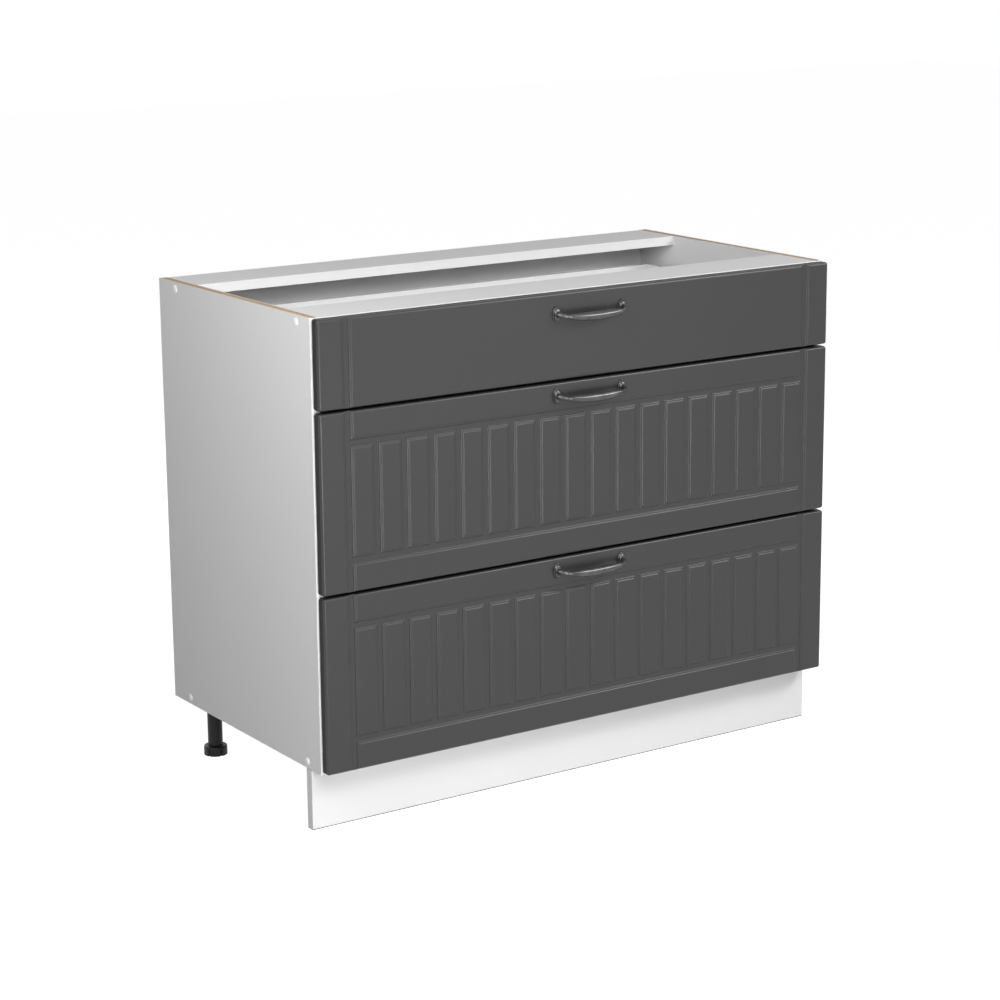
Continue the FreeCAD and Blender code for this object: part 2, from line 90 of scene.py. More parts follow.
# Milled fronts ------------------------------------------------------------------------------
FRAME_CENTRE = 50.0 * MM      # outline of a front to the centre of its frame groove
FLUTES = 18                   # slats between the upright frame grooves
FRONT_ROUND = 4.0 * MM
FRONT_CORNER = 4.2 * MM
BACK_CHAMFER = 0.5 * MM
ROUND_STEPS = 6
GROOVE_PROFILE = (
    # half width and depth in millimetres, from the rim to the floor of the groove
    (9.9, 0.0), (9.5, 0.04), (9.1, 0.16), (8.7, 0.36), (8.35, 0.62), (8.05, 0.9), (7.75, 1.1), (7.4, 1.19),
    (6.6, 1.2), (6.1, 1.25), (5.6, 1.4), (5.1, 1.68), (4.75, 1.98), (4.45, 2.35), (4.25, 2.75), (4.0, 3.08),
    (3.5, 3.2),
)
FLAT_DIGITS = 4               # decimals of a millimetre to which the depths of a flat grid face agree

# Handles ------------------------------------------------------------------------------------
HOLE_SPACING = 128.0 * MM
BOW = (
    # from the middle, out from the front, drop, radius, in millimetres
    (64.0, 4.5, 0.0, 5.2), (63.2, 8.0, 0.1, 4.9), (61.4, 11.6, 0.4, 4.4), (58.9, 14.9, 0.9, 3.8),
    (55.9, 17.6, 1.5, 3.3), (53.0, 19.3, 2.0, 3.0), (50.8, 20.1, 2.3, 3.3), (48.0, 20.6, 2.6, 4.2),
    (41.0, 21.1, 3.2, 5.1), (29.0, 21.7, 4.1, 6.2), (15.0, 22.0, 4.7, 6.9), (0.0, 22.1, 4.9, 7.2),
)
BOW_STEPS = 6
BOW_SEGMENTS = 32
ROSETTE = (
    # out from the front, half width, half height, in millimetres
    (0.0, 7.4, 13.0), (0.4, 7.4, 13.0), (1.4, 7.4, 13.0), (2.0, 7.2, 12.8), (2.5, 6.9, 12.3),
    (2.5, 6.6, 11.9), (2.2, 6.4, 11.6), (2.5, 6.3, 11.2), (3.6, 6.2, 10.5), (4.6, 5.9, 9.4),
    (5.4, 5.7, 7.6), (5.9, 5.5, 6.0),
)
ROSETTE_RISE = ROSETTE[0][2] * MM     # middle of a rosette to its top, which is the handle's top
ROSETTE_SEGMENTS = 64

# Screw caps ---------------------------------------------------------------------------------
CAP_PROFILE = (
    # radius and height outside the board, in millimetres
    (6.5, 0.0), (6.5, 0.3), (6.35, 0.6), (5.7, 1.05), (4.6, 1.52), (3.2, 1.9), (1.6, 2.13), (0.3, 2.2),
)
CAP_SEGMENTS = 32

# Edges, with angles in degrees between the faces that meet there ----------------------------
MILLED_SHARP = 50.0           # an edge stays sharp above it
CAST_SHARP = 60.0
CAP_SHARP = 50.0
ARRIS_ANGLE = 40.0            # an edge of a CAD piece is softened above it
ARRIS_SEGMENTS = 2
WELD_GAP = 0.02 * MM
ARRIS_WIDTHS = {
    # in millimetres, by finish; the other finishes keep their sharp edges
    "side": 0.35,
    "level": 0.35,
    "drawer": 0.35,
    "plinth": 0.4,
    "band": 0.2,
    "seal": 0.3,
    "zinc": 0.25,
    "plastic": 0.5,
}

# Tones, and where they lie ------------------------------------------------------------------
WHITE = (0.80, 0.80, 0.80)
PLINTH_WHITE = (0.77, 0.77, 0.77)
LACQUER_DULL = (0.76, 0.76, 0.77)
CHIP_TAN = (0.42, 0.29, 0.19)
CHIP_PALE = (0.56, 0.43, 0.31)
CHIP_DARK = (0.26, 0.16, 0.10)
CHIP_FINE = (0.80, 0.66, 0.52)
FIBRE_DARK = (0.20, 0.12, 0.07)
FIBRE_PALE = (0.33, 0.21, 0.13)
FOIL = (0.0260, 0.0260, 0.0263)
FOIL_EDGE = (0.014, 0.014, 0.0145)
FOIL_EDGE_DARK = (0.012, 0.012, 0.0125)
FOIL_EDGE_PALE = (0.016, 0.016, 0.0165)
IRON = (0.06, 0.06, 0.061)
IRON_DARK = (0.055, 0.055, 0.056)
IRON_RUBBED = (0.105, 0.105, 0.107)
ZINC = (0.60, 0.61, 0.63)
ZINC_DARK = (0.50, 0.51, 0.53)
ZINC_PALE = (0.66, 0.67, 0.69)
SCREW = (0.56, 0.56, 0.53)
SCREW_DARK = (0.45, 0.45, 0.42)
SCREW_PALE = (0.62, 0.62, 0.58)
BLACK = (0.009, 0.009, 0.0095)
BLACK_DEEP = (0.007, 0.007, 0.0075)
BLACK_WORN = (0.012, 0.012, 0.0125)
MOULDED = (0.89, 0.89, 0.89)
MOULDED_DULL = (0.88, 0.88, 0.88)
MOULDED_CLEAN = (0.90, 0.90, 0.90)
STRIP_WHITE = (0.82, 0.82, 0.82)
SEAL_BOTTOM_DARK = (0.10, 0.10, 0.105)
SEAL_BOTTOM_PALE = (0.14, 0.14, 0.145)
SEAL_BOTTOM_HEIGHT = 1.6 * MM         # the darker grey band along the bottom of the plinth seal
SIDE_RAW = (484.4 * MM, 499.6 * MM)   # raw edge of a side panel, from the middle of the cabinet
SIDE_CORE = (487.0 * MM, 496.6 * MM)  # its coarse core

# Shader nodes -------------------------------------------------------------------------------
LOOKS_ALONG = 0.9             # least cosine at which a face counts as looking along an axis
PATCH_START = 0.3             # noise levels between which one tone turns into the other
PATCH_END = 0.7
MIX_FACTOR = 0                # sockets of a mix node that mixes colours
MIX_FIRST = 6
MIX_SECOND = 7
MIX_RESULT = 2


# Mesh helpers -------------------------------------------------------------------------------
def new_mesh(name, verts, faces, sharp_angle=None):
    """A mesh object of its own, smooth shaded with edges above an angle kept sharp."""
    mesh = bpy.data.meshes.new(name)
    mesh.from_pydata([tuple(v) for v in verts], [], faces)
    mesh.validate()
    mesh.update()
    piece = bpy.data.objects.new(name, mesh)
    bpy.context.scene.collection.objects.link(piece)
    if sharp_angle is not None:
        mesh.polygons.foreach_set("use_smooth", [True] * len(mesh.polygons))
        mesh.set_sharp_from_angle(angle=math.radians(sharp_angle))
    return piece


def circle(segments):
    """Angles of evenly spaced points round a circle."""
    return [2 * math.pi * k / segments for k in range(segments)]


def closed_skin(rings):
    """Vertices and faces of a skin over a stack of rings, closed at both ends."""
    count = len(rings[0])
    verts = [point for ring in rings for point in ring]
    faces = []
    for near in range(0, len(verts) - count, count):
        far = near + count
        for k in range(count):
            n = (k + 1) % count
            faces.append((near + k, near + n, far + n, far + k))
    faces.append(tuple(range(count - 1, -1, -1)))
    faces.append(tuple(range(len(verts) - count, len(verts))))
    return verts, faces


def joined(parts):
    """One list of vertices and one of faces for parts that share a mesh."""
    verts, faces = [], []
    for part_verts, part_faces in parts:
        faces += [tuple(i + len(verts) for i in face) for face in part_faces]
        verts += part_verts
    return verts, faces


def dress(piece, body, node):
    """Ride on a body and stand for a CAD node."""
    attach(piece, body)
    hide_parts(node)


def weighted_normals(piece):
    """Keeps large faces flat to the eye beside small rounded ones."""
    modifier = piece.modifiers.new("flat_faces", "WEIGHTED_NORMAL")
    modifier.keep_sharp = True


def arris(piece, width):
    """Softens the sharp edges of a CAD piece, as coating and handling do."""
    weld = piece.modifiers.new("weld", "WELD")
    weld.merge_threshold = WELD_GAP
    bevel = piece.modifiers.new("arris", "BEVEL")
    bevel.width = width
    bevel.segments = ARRIS_SEGMENTS
    bevel.limit_method = "ANGLE"
    bevel.angle_limit = math.radians(ARRIS_ANGLE)
    weighted_normals(piece)


# Materials ----------------------------------------------------------------------------------
class Finish:
    """A node material with short calls for the nodes that the finishes share.

    Scales of noise and cells count their features in one metre, roughly.
    """

    def __init__(self, name, tone, roughness, metallic=0.0, specular=0.5):
        self.material = bpy.data.materials.new(name)
        self.material.use_nodes = True
        self.tree = self.material.node_tree
        self.shader = self.tree.nodes["Principled BSDF"]
        self.shader.inputs["Base Color"].default_value = (*tone, 1.0)
        self.shader.inputs["Roughness"].default_value = roughness
        self.shader.inputs["Metallic"].default_value = metallic
        self.shader.inputs["Specular IOR Level"].default_value = specular
        self.material.diffuse_color = (*tone, 1.0)
        self.place = self.add("ShaderNodeTexCoord").outputs["Object"]

    def add(self, kind, **values):
        node = self.tree.nodes.new(kind)
        for key, value in values.items():
            setattr(node, key, value)
        return node

    def link(self, source, target):
        self.tree.links.new(source, target)

    def stretched(self, scale):
        """Places with each axis scaled, which draws features out along a small scale."""
        mapping = self.add("ShaderNodeMapping")
        mapping.inputs["Scale"].default_value = scale
        self.link(self.place, mapping.inputs["Vector"])
        return mapping.outputs["Vector"]

    def split(self, vector):
        """The X, Y and Z outputs of a vector."""
        node = self.add("ShaderNodeSeparateXYZ")
        self.link(vector, node.inputs["Vector"])
        return node.outputs

    def noise(self, scale, detail=2.0, place=None):
        node = self.add("ShaderNodeTexNoise")
        node.inputs["Scale"].default_value = scale
        node.inputs["Detail"].default_value = detail
        self.link(place or self.place, node.inputs["Vector"])
        return node.outputs["Fac"]

    def cells(self, scale, place):
        node = self.add("ShaderNodeTexVoronoi")
        node.inputs["Scale"].default_value = scale
        self.link(place, node.inputs["Vector"])
        return node.outputs

    def ramp(self, source, stops):
        node = self.add("ShaderNodeValToRGB")
        ramp = node.color_ramp
        while len(ramp.elements) < len(stops):
            ramp.elements.new(1.0)
        for element, (at, tone) in zip(ramp.elements, stops):
            element.position = at
            element.color = (*tone, 1.0)
        self.link(source, node.inputs["Fac"])
        return node.outputs["Color"]

    def patches(self, noise, first, second):
        """Patches of two tones with soft borders."""
        return self.ramp(noise, ((PATCH_START, first), (PATCH_END, second)))

    def math(self, operation, first, second=None):
        node = self.add("ShaderNodeMath", operation=operation)
        for socket, value in zip(node.inputs, (first, second)):
            if isinstance(value, (int, float)):
                socket.default_value = value
            elif value is not None:
                self.link(value, socket)
        return node.outputs["Value"]

    def mix(self, factor, first, second):
        """One tone or colour where the factor is 0, the other where it is 1."""
        node = self.add("ShaderNodeMix", data_type="RGBA")
        self.link(factor, node.inputs[MIX_FACTOR])
        for socket, value in ((node.inputs[MIX_FIRST], first), (node.inputs[MIX_SECOND], second)):
            if isinstance(value, tuple):
                socket.default_value = (*value, 1.0)
            else:
                self.link(value, socket)
        return node.outputs[MIX_RESULT]

    def colour(self, source):
        self.link(source, self.shader.inputs["Base Color"])

    def roughness(self, source, low, high):
        """Roughness that goes from low to high as the source goes from 0 to 1."""
        node = self.add("ShaderNodeMapRange")
        node.inputs["To Min"].default_value = low
        node.inputs["To Max"].default_value = high
        self.link(source, node.inputs["Value"])
        self.link(node.outputs["Result"], self.shader.inputs["Roughness"])

    def bump(self, height, strength, distance):
        node = self.add("ShaderNodeBump")
        node.inputs["Strength"].default_value = strength
        node.inputs["Distance"].default_value = distance
        self.link(height, node.inputs["Height"])
        self.link(node.outputs["Normal"], self.shader.inputs["Normal"])

    def facing(self, axis, sign):
        """1 where the surface faces one way along an axis."""
        normal = self.split(self.add("ShaderNodeNewGeometry").outputs["True Normal"])
        return self.math("GREATER_THAN", self.math("MULTIPLY", normal[axis], sign), LOOKS_ALONG)

    def across(self, span):
        """1 where the distance from the middle of the cabinet lies within a span."""
        out = self.math("ABSOLUTE", self.split(self.place)["X"])
        beyond = self.math("GREATER_THAN", out, span[0])
        short = self.math("LESS_THAN", out, span[1])
        return self.math("MULTIPLY", beyond, short)


def shade(tone, factor):
    """A tone made darker or paler."""
    return tuple(channel * factor for channel in tone)


def chipboard(finish):
    """Colour and relief of a sawn particle-board edge: pressed flakes and dark specks."""
    flakes = finish.cells(420.0, finish.stretched((1.0, 1.0, 1.6)))
    tone = finish.ramp(flakes["Color"], ((0.0, CHIP_TAN), (0.55, CHIP_PALE), (1.0, CHIP_TAN)))
    specks = finish.ramp(finish.noise(900.0, detail=3.0), ((0.30, (1, 1, 1)), (0.42, (0, 0, 0))))
    return finish.mix(specks, tone, CHIP_DARK), flakes["Distance"]


def melamine(name, white):
    """A white finish with its slightly clouded colour and its fine pearled relief."""
    finish = Finish(name, white, roughness=0.55, specular=0.3)
    skin = finish.mix(finish.noise(9.0, detail=3.0), shade(white, 0.97), white)
    return finish, skin, finish.noise(1400.0)


def coated_board(name):
    """White melamine all over."""
    finish, skin, pearl = melamine(name, WHITE)
    finish.colour(skin)
    finish.bump(pearl, strength=0.06, distance=0.1 * MM)
    return finish.material


def cut_board(name, raw_faces, white=WHITE, layered=False):
    """White melamine with raw particle board on the faces that look the given ways.

    On a layered board the raw edge shows fine pale flakes on both sides of its coarser core.
    """
    finish, skin, pearl = melamine(name, white)
    cuts = [finish.facing(axis, sign) for axis, sign in raw_faces]
    raw = cuts[0]
    for cut in cuts[1:]:
        raw = finish.math("MAXIMUM", raw, cut)
    edge, relief = chipboard(finish)
    if layered:
        raw = finish.math("MULTIPLY", raw, finish.across(SIDE_RAW))
        edge = finish.mix(finish.across(SIDE_CORE), CHIP_FINE, edge)
    finish.colour(finish.mix(raw, skin, edge))
    finish.roughness(raw, low=0.55, high=0.9)
    faint_pearl = finish.math("MULTIPLY", pearl, 0.15)
    height = finish.math("ADD", faint_pearl, finish.math("MULTIPLY", raw, relief))
    finish.bump(height, strength=0.25, distance=0.2 * MM)
    return finish.material


def graphite_foil():
    """Silk-matt grey foil drawn over the milled board."""
    finish = Finish("graphite_foil", FOIL, roughness=0.34, specular=0.45)
    finish.colour(finish.mix(finish.noise(6.0, detail=4.0), shade(FOIL, 0.93), shade(FOIL, 1.06)))
    grain = finish.noise(2200.0)
    finish.roughness(grain, low=0.31, high=0.37)
    finish.bump(grain, strength=0.05, distance=0.05 * MM)
    return finish.material


def graphite_edge():
    """Darker, duller foil on the narrow edges of the fronts."""
    finish = Finish("graphite_edge", FOIL_EDGE, roughness=0.55, specular=0.15)
    finish.colour(finish.mix(finish.noise(8.0, detail=3.0), FOIL_EDGE_DARK, FOIL_EDGE_PALE))
    return finish.material


def antique_iron():
    """Dark cast metal with brighter rubbed patches."""
    finish = Finish("antique_iron", IRON, roughness=0.36, metallic=0.8)
    finish.colour(finish.patches(finish.noise(55.0, detail=5.0), IRON_DARK, IRON_RUBBED))
    finish.roughness(finish.noise(240.0, detail=3.0), low=0.24, high=0.36)
    finish.bump(finish.noise(700.0, detail=3.0), strength=0.12, distance=0.1 * MM)
    return finish.material


def zinc_steel():
    """Rolled, zinc plated steel with faint lines along its length."""
    finish = Finish("zinc_steel", ZINC, roughness=0.3, metallic=1.0)
    lines = finish.noise(500.0, place=finish.stretched((1.0, 0.02, 1.0)))
    finish.colour(finish.patches(finish.noise(60.0, detail=4.0), ZINC_DARK, ZINC_PALE))
    finish.roughness(lines, low=0.22, high=0.4)
    finish.bump(lines, strength=0.1, distance=0.05 * MM)
    return finish.material


def plated_screw():
    """Zinc plating with a trace of yellow, as on furniture screws."""
    finish = Finish("plated_screw", SCREW, roughness=0.28, metallic=1.0)
    finish.colour(finish.patches(finish.noise(300.0, detail=3.0), SCREW_DARK, SCREW_PALE))
    finish.roughness(finish.noise(900.0), low=0.22, high=0.4)
    return finish.material


def black_plastic():
    """Black moulded plastic with a fine grained surface."""
    finish = Finish("black_plastic", BLACK, roughness=0.42, specular=0.25)
    finish.colour(finish.mix(finish.noise(30.0, detail=3.0), BLACK_DEEP, BLACK_WORN))
    finish.roughness(finish.noise(420.0, detail=3.0), low=0.36, high=0.55)
    finish.bump(finish.noise(1600.0), strength=0.15, distance=0.1 * MM)
    return finish.material


def white_plastic(name, roughness):
    """Smooth white plastic, brighter than the boards."""
    finish = Finish(name, MOULDED, roughness)
    finish.colour(finish.mix(finish.noise(40.0), MOULDED_DULL, MOULDED_CLEAN))
    finish.bump(finish.noise(1200.0), strength=0.04, distance=0.1 * MM)
    return finish.material


def seal_strip():
    """White strip, darker grey along its lowest part where it meets the floor."""
    finish = Finish("seal_strip", WHITE, roughness=0.35)
    # the strip is darker grey along its lowest 1.6 mm, where it meets the floor
    bottom_band = finish.math("LESS_THAN", finish.split(finish.place)["Z"], SEAL_BOTTOM_HEIGHT)
    bottom_grey = finish.mix(finish.noise(25.0, detail=3.0), SEAL_BOTTOM_DARK, SEAL_BOTTOM_PALE)
    finish.colour(finish.mix(bottom_band, STRIP_WHITE, bottom_grey))
    streaks = finish.noise(600.0, place=finish.stretched((0.05, 1.0, 1.0)))
    finish.bump(streaks, strength=0.1, distance=0.1 * MM)
    return finish.material


def hardboard():
    """White lacquer inside the cabinet, bare brown fibre towards the wall."""
    finish = Finish("hardboard", WHITE, roughness=0.5)
    fibre = finish.noise(260.0, detail=6.0)
    brown = finish.patches(fibre, FIBRE_DARK, FIBRE_PALE)
    lacquer = finish.mix(finish.noise(12.0, detail=3.0), LACQUER_DULL, WHITE)
    outside = finish.facing("Y", 1.0)
    finish.colour(finish.mix(outside, lacquer, brown))
    finish.roughness(outside, low=0.45, high=0.8)
    finish.bump(fibre, strength=0.12, distance=0.1 * MM)
    return finish.material


# Drawer fronts ------------------------------------------------------------------------------
def groove_depth(offset):
    """Depth of the milled profile at a distance from its centre line."""
    offset = abs(offset) / MM
    if offset >= GROOVE_PROFILE[0][0]:
        return 0.0
    for (u0, d0), (u1, d1) in zip(GROOVE_PROFILE, GROOVE_PROFILE[1:]):
        if offset >= u1:
            return (d0 + (d1 - d0) * (u0 - offset) / (u0 - u1)) * MM
    return GROOVE_PROFILE[-1][1] * MM


def rim_depth(distance):
    """How far the rounded edge falls back at a distance from the outline."""
    if distance >= FRONT_ROUND:
        return 0.0
    return FRONT_ROUND - math.sqrt(FRONT_ROUND ** 2 - (FRONT_ROUND - distance) ** 2)


def grid_lines(low, high, grooves):
    """Places of the grid lines across the rounded rims and the grooves."""
    rounds = [FRONT_ROUND * (1.0 - math.cos(math.pi / 2 * i / ROUND_STEPS)) for i in range(ROUND_STEPS + 1)]
    rounds.append(FRONT_CORNER)
    lines = [low + r for r in rounds] + [high - r for r in rounds]
    lines += [groove + side * u * MM for groove in grooves for u, _ in GROOVE_PROFILE for side in (-1, 1)]
    return sorted(lines)


def on_outline(x, z, half_wide, half_tall, inset=0.0):
    """Draws a point of the square grid in to the outline with its rounded corners."""
    p = max(abs(x) - half_wide + FRONT_CORNER, 0.0)
    q = max(abs(z) - half_tall + FRONT_CORNER, 0.0)
    if p == 0.0 and q == 0.0:
        return x, z
    share = max(p, q) / math.hypot(p, q) * (1.0 - inset / FRONT_CORNER)
    if p > 0.0:
        x = math.copysign(half_wide - FRONT_CORNER + p * share, x)
    if q > 0.0:
        z = math.copysign(half_tall - FRONT_CORNER + q * share, z)
    return x, z


class MilledFace:
    """Grid over the face of a front, as deep as the mill went, with how far each point is off a mitre."""

    def __init__(self, low, high, fluted):
        self.low = low
        self.high = high
        self.middle = (low + high) / 2.0
        self.reach = high.x - FRAME_CENTRE
        stiles = [-self.reach, self.reach]
        pitch = 2.0 * self.reach / FLUTES
        slats = [-self.reach + pitch * i for i in range(1, FLUTES)] if fluted else []
        self.rails = [low.z + FRAME_CENTRE, high.z - FRAME_CENTRE] if fluted else []
        self.xs = grid_lines(low.x, high.x, stiles + slats)
        self.zs = grid_lines(low.z, high.z, self.rails)
        self.outer = [max(groove_depth(x - s) for s in stiles) for x in self.xs]
        self.inner = [max(groove_depth(x - s) for s in stiles + slats) for x in self.xs]
        self.verts = []
        self.off_mitre = []
        for z in self.zs:
            self.add_row(z)

    def add_row(self, z):
        """The points of one level grid line, from left to right."""
        between_rails = bool(self.rails) and self.rails[0] <= z <= self.rails[1]
        rail = max((groove_depth(z - r) for r in self.rails), default=0.0)
        edge = max(rim_depth(z - self.low.z), rim_depth(self.high.z - z))
        for x, upright in zip(self.xs, self.inner if between_rails else self.outer):
            level = rail if abs(x) <= self.reach else 0.0
            rim = max(rim_depth(x - self.low.x), rim_depth(self.high.x - x))
            self.verts.append(self.point(x, self.low.y + max(upright, level, rim, edge), z))
            self.off_mitre.append(abs(max(upright, rim) - max(level, edge)))

    def point(self, x, y, z, inset=0.0):
        """A grid point with the rounded corners of the outline, which an inset draws in."""
        half_tall = self.high.z - self.middle.z
        column, row = on_outline(x, z - self.middle.z, self.high.x, half_tall, inset)
        return column, y, self.middle.z + row

    def faces(self):
        """Whole squares where the face is flat, else triangles that meet along the mitres."""
        wide = len(self.xs)
        faces = []
        for row in range(0, len(self.verts) - wide, wide):
            for a in range(row, row + wide - 1):
                b, c, d = a + 1, a + wide + 1, a + wide
                depths = {round(self.verts[k][1] / MM, FLAT_DIGITS) for k in (a, b, c, d)}
                rising = self.off_mitre[a] + self.off_mitre[c]
                falling = self.off_mitre[b] + self.off_mitre[d]
                if len(depths) == 1 or rising == falling:
                    faces.append((a, b, c, d))
                elif rising < falling:
                    faces += [(a, b, c), (a, c, d)]
                else:
                    faces += [(a, b, d), (b, c, d)]
        return faces

    def outline(self):
        """The grid's outer points, once round."""
        wide = len(self.xs)
        last = len(self.verts) - wide
        ring = list(range(wide))
        ring += range(2 * wide - 1, last + wide, wide)
        ring += range(last + wide - 2, last - 1, -1)
        ring += range(last - wide, 0, -wide)
        return ring

    def back_ring(self, inset, y):
        """The outline once more, drawn in and set back to y."""
        wide = len(self.xs)
        return [self.point(self.xs[k % wide], y, self.zs[k // wide], inset) for k in self.outline()]


def milled_front(name, node, fluted, finishes):
    """A front whose face follows the milled profile, mitred where grooves meet.

    The finishes are those of its face, its narrow edges and its back.
    """
    low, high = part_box(node)
    face = MilledFace(low, high, fluted)
    faces = face.faces()
    milled = len(faces)
    ring = face.outline()
    start = len(face.verts)
    count = len(ring)
    verts = face.verts + face.back_ring(0.0, high.y - BACK_CHAMFER) + face.back_ring(BACK_CHAMFER, high.y)
    side = list(range(start, start + count))
    back = list(range(start + count, start + 2 * count))
    for near, far in ((ring, side), (side, back)):
        for k in range(count):
            n = (k + 1) % count
            faces.append((near[k], far[k], far[n], near[n]))
    faces.append(tuple(back))
    piece = new_mesh(name, verts, faces, MILLED_SHARP)
    for finish in finishes:
        piece.data.materials.append(finish)
    for polygon in piece.data.polygons[milled:]:
        polygon.material_index = 1
    piece.data.polygons[-1].material_index = 2
    weighted_normals(piece)
    return piece


# Handles ------------------------------------------------------------------------------------
def smooth_row(rows, steps):
    """Catmull-Rom points through rows of numbers."""
    rows = [Vector(r) for r in rows]
    padded = [rows[0] * 2 - rows[1]] + rows + [rows[-1] * 2 - rows[-2]]
    out = []
    for p0, p1, p2, p3 in zip(padded, padded[1:], padded[2:], padded[3:]):
        for s in range(steps):
            t = s / steps
            out.append(0.5 * ((2 * p1) + (p2 - p0) * t + (2 * p0 - 5 * p1 + 4 * p2 - p3) * t * t
                              + (3 * p1 - p0 - 3 * p2 + p3) * t ** 3))
    return out + [rows[-1]]


def tube(centres, radii):
    """Round tube with closed ends."""
    up = Vector((0, 0, 1))
    rings = []
    for i, (centre, radius) in enumerate(zip(centres, radii)):
        tangent = (centres[min(i + 1, len(centres) - 1)] - centres[max(i - 1, 0)]).normalized()
        across = up.cross(tangent).normalized()
        other = tangent.cross(across)
        rings.append([centre + (across * math.cos(angle) + other * math.sin(angle)) * radius
                      for angle in circle(BOW_SEGMENTS)])
    return closed_skin(rings)


def rosette(x, y, z):
    """Oval foot with a rolled rim, a groove and a domed middle."""
    rings = []
    for out, wide, tall in ROSETTE:
        rings.append([(x + wide * MM * math.cos(angle), y - out * MM, z + tall * MM * math.sin(angle))
                      for angle in circle(ROSETTE_SEGMENTS)])
    return closed_skin(rings)


def bow_handle(name, node, finish):
    """A swelling bow on two rosettes that stand on the front."""
    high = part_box(node)[1]
    z = high.z - ROSETTE_RISE
    rows = [(-u, out, drop, radius) for u, out, drop, radius in BOW] + list(reversed(BOW[:-1]))
    stations = smooth_row(rows, BOW_STEPS)
    centres = [Vector((u * MM, high.y - out * MM, z - drop * MM)) for u, out, drop, _ in stations]
    parts = [tube(centres, [radius * MM for _, _, _, radius in stations])]
    parts += [rosette(side * HOLE_SPACING / 2, high.y, z) for side in (-1, 1)]
    piece = new_mesh(name, *joined(parts), CAST_SHARP)
    piece.data.materials.append(finish)
    return piece


# Screw caps ---------------------------------------------------------------------------------
def dome(side, face_x, y, z):
    """A low dome that stands out of a face on one side of the cabinet."""
    rings = []
    for radius, out in CAP_PROFILE:
        x = face_x + side * out * MM
        rings.append([(x, y + radius * MM * math.cos(side * angle), z + radius * MM * math.sin(side * angle))
                      for angle in circle(CAP_SEGMENTS)])
    return closed_skin(rings)


def screw_caps(name, node, finish):
    """Domes on both side panels, placed by the box that they fill."""
    low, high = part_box(node)
    radius = CAP_PROFILE[0][0] * MM
    height = CAP_PROFILE[-1][1] * MM
    parts = []
    for side, face_x in ((-1, low.x + height), (1, high.x - height)):
        for y in (low.y + radius, high.y - radius):
            for z in (low.z + radius, high.z - radius):
                parts.append(dome(side, face_x, y, z))
    piece = new_mesh(name, *joined(parts), CAP_SHARP)
    piece.data.materials.append(finish)
    return piece


# Stage --------------------------------------------------------------------------------------
def camera():
    """The photograph's viewing angle and perspective, with no shift."""
    yaw, pitch, roll = (math.radians(angle) for angle in (CAMERA_YAW, CAMERA_PITCH, CAMERA_ROLL))
    forward = Vector((math.sin(yaw) * math.cos(pitch), math.cos(yaw) * math.cos(pitch), -math.sin(pitch)))
    level = Vector((math.cos(yaw), -math.sin(yaw), 0.0))
    upright = level.cross(forward)
    right = level * math.cos(roll) + upright * math.sin(roll)
    up = upright * math.cos(roll) - level * math.sin(roll)
    data = bpy.data.cameras.new("camera")
    data.lens = LENS_MM
    data.sensor_width = SENSOR_MM
    data.clip_end = CAMERA_REACH
    made = bpy.data.objects.new("camera", data)
    bpy.context.scene.collection.objects.link(made)
    turn = Matrix((right, up, -forward)).transposed().to_4x4()
    made.matrix_world = Matrix.Translation(CAMERA_PLACE) @ turn
    bpy.context.scene.camera = made


def seen_rays(tree):
    """1 for the rays that show the background: camera, glossy and transmission rays."""
    path = tree.nodes.new("ShaderNodeLightPath")
    total = path.outputs["Is Camera Ray"]
    for name in ("Is Glossy Ray", "Is Transmission Ray"):
        add = tree.nodes.new("ShaderNodeMath")
        add.operation = "MAXIMUM"
        tree.links.new(total, add.inputs[0])
        tree.links.new(path.outputs[name], add.inputs[1])
        total = add.outputs[0]
    return total


def world():
    """White to the camera, a plain soft fill for everything else."""
    made = bpy.data.worlds.new("studio")
    bpy.context.scene.world = made
    made.use_nodes = True
    tree = made.node_tree
    back = tree.nodes["Background"]
    back.inputs["Color"].default_value = (1.0, 1.0, 1.0, 1.0)
    pick = tree.nodes.new("ShaderNodeMapRange")
    pick.inputs["To Min"].default_value = WORLD_FILL
    pick.inputs["To Max"].default_value = 1.0
    tree.links.new(seen_rays(tree), pick.inputs["Value"])
    tree.links.new(pick.outputs["Result"], back.inputs["Strength"])


def floor():
    """Large pale floor that keeps the cabinet's shadow and meets the white background."""
    corners = ((-1, -1), (1, -1), (1, 1), (-1, 1))
    verts = [(x * FLOOR_HALF, y * FLOOR_HALF, 0.0) for x, y in corners]
    piece = new_mesh("floor", verts, [(0, 1, 2, 3)])
    material = bpy.data.materials.new("floor")
    material.use_nodes = True
    tree = material.node_tree
    shader = tree.nodes["Principled BSDF"]
    shader.inputs["Base Color"].default_value = (*FLOOR_GREY, 1.0)
    shader.inputs["Roughness"].default_value = FLOOR_ROUGHNESS
    shader.inputs["Specular IOR Level"].default_value = 0.0
    shader.inputs["Emission Color"].default_value = (1.0, 1.0, 1.0, 1.0)
    glow = tree.nodes.new("ShaderNodeMath")
    glow.operation = "MULTIPLY"
    glow.inputs[1].default_value = FLOOR_GLOW
    tree.links.new(seen_rays(tree), glow.inputs[0])
    tree.links.new(glow.outputs[0], shader.inputs["Emission Strength"])
    piece.data.materials.append(material)


def softbox(name, place, aim_height, size, watts):
    """An area lamp that faces a point above the origin."""
    data = bpy.data.lights.new(name, "AREA")
    data.shape = "RECTANGLE"
    data.size, data.size_y = size
    data.energy = watts
    lamp = bpy.data.objects.new(name, data)
    bpy.context.scene.collection.objects.link(lamp)
    lamp.location = place
    lamp.rotation_mode = "QUATERNION"
    aim = Vector((0.0, 0.0, aim_height)) - Vector(place)
    lamp.rotation_quaternion = aim.to_track_quat("-Z", "Y")
    lamp.visible_camera = False
    lamp.visible_glossy = name not in UNMIRRORED_LAMPS


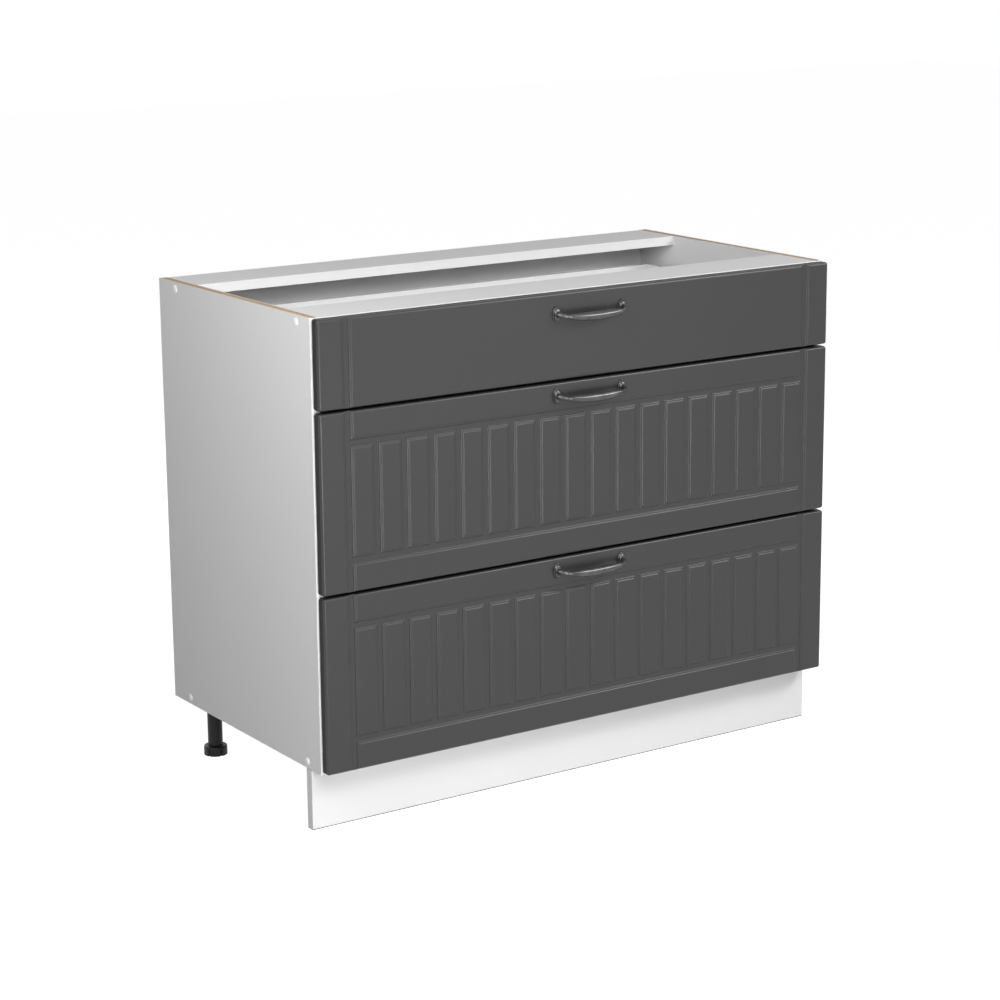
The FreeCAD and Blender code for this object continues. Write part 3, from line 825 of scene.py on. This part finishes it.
# Assembly -----------------------------------------------------------------------------------
FINISHES = {
    "foil": graphite_foil(),
    "foil_edge": graphite_edge(),
    "front_back": coated_board("white_board"),
    "iron": antique_iron(),
    "zinc": zinc_steel(),
    "screw": plated_screw(),
    "plastic": black_plastic(),
    "side": cut_board("side_board", (("Z", 1.0), ("Z", -1.0), ("Y", 1.0)), layered=True),
    "level": cut_board("level_board", (("Y", 1.0),)),
    "drawer": cut_board("drawer_board", (("Z", -1.0),)),
    "plinth": cut_board("plinth_board", (("Z", 1.0),), white=PLINTH_WHITE),
    "back": hardboard(),
    "band": white_plastic("edge_band", roughness=0.35),
    "cap": white_plastic("cap_plastic", roughness=0.3),
    "seal": seal_strip(),
}
NODE_FINISHES = {
    "bottom_panel": "level",
    "front_stretcher": "level",
    "rear_stretcher": "level",
    "back_panel": "back",
    "edge_bands": "band",
    "plinth_panel": "plinth",
    "plinth_seal": "seal",
    "plinth_clips": "plastic",
}


def finish_name(node):
    """The finish of a CAD node, by its own name or by the kind of piece that it is."""
    if node in NODE_FINISHES:
        return NODE_FINISHES[node]
    if node.startswith("side_panel"):
        return "side"
    if "_rail_" in node:
        return "zinc"
    if node.endswith("screws"):
        return "screw"
    if node.startswith(("leg_", "foot_")):
        return "plastic"
    return "drawer"


bpy.context.scene.view_settings.view_transform = "Standard"

for node_name, node_object in NODES.items():
    finish_key = finish_name(node_name)
    node_object.data.materials.clear()
    node_object.data.materials.append(FINISHES[finish_key])
    if finish_key in ARRIS_WIDTHS:
        arris(node_object, ARRIS_WIDTHS[finish_key] * MM)

front_finishes = [FINISHES[key] for key in ("foil", "foil_edge", "front_back")]
for drawer in DRAWERS:
    body = f"{drawer}_drawer"
    front_node = f"{drawer}_drawer_front"
    handle_node = f"{drawer}_drawer_handle"
    front = milled_front(f"{drawer}_front", front_node, drawer != PLAIN_DRAWER, front_finishes)
    dress(front, body, front_node)
    handle = bow_handle(f"{drawer}_handle", handle_node, FINISHES["iron"])
    dress(handle, body, handle_node)

caps = screw_caps("screw_caps_domed", "screw_caps", FINISHES["cap"])
dress(caps, "carcass", "screw_caps")

camera()
world()
floor()
for lamp_name, settings in LAMPS.items():
    softbox(lamp_name, *settings)
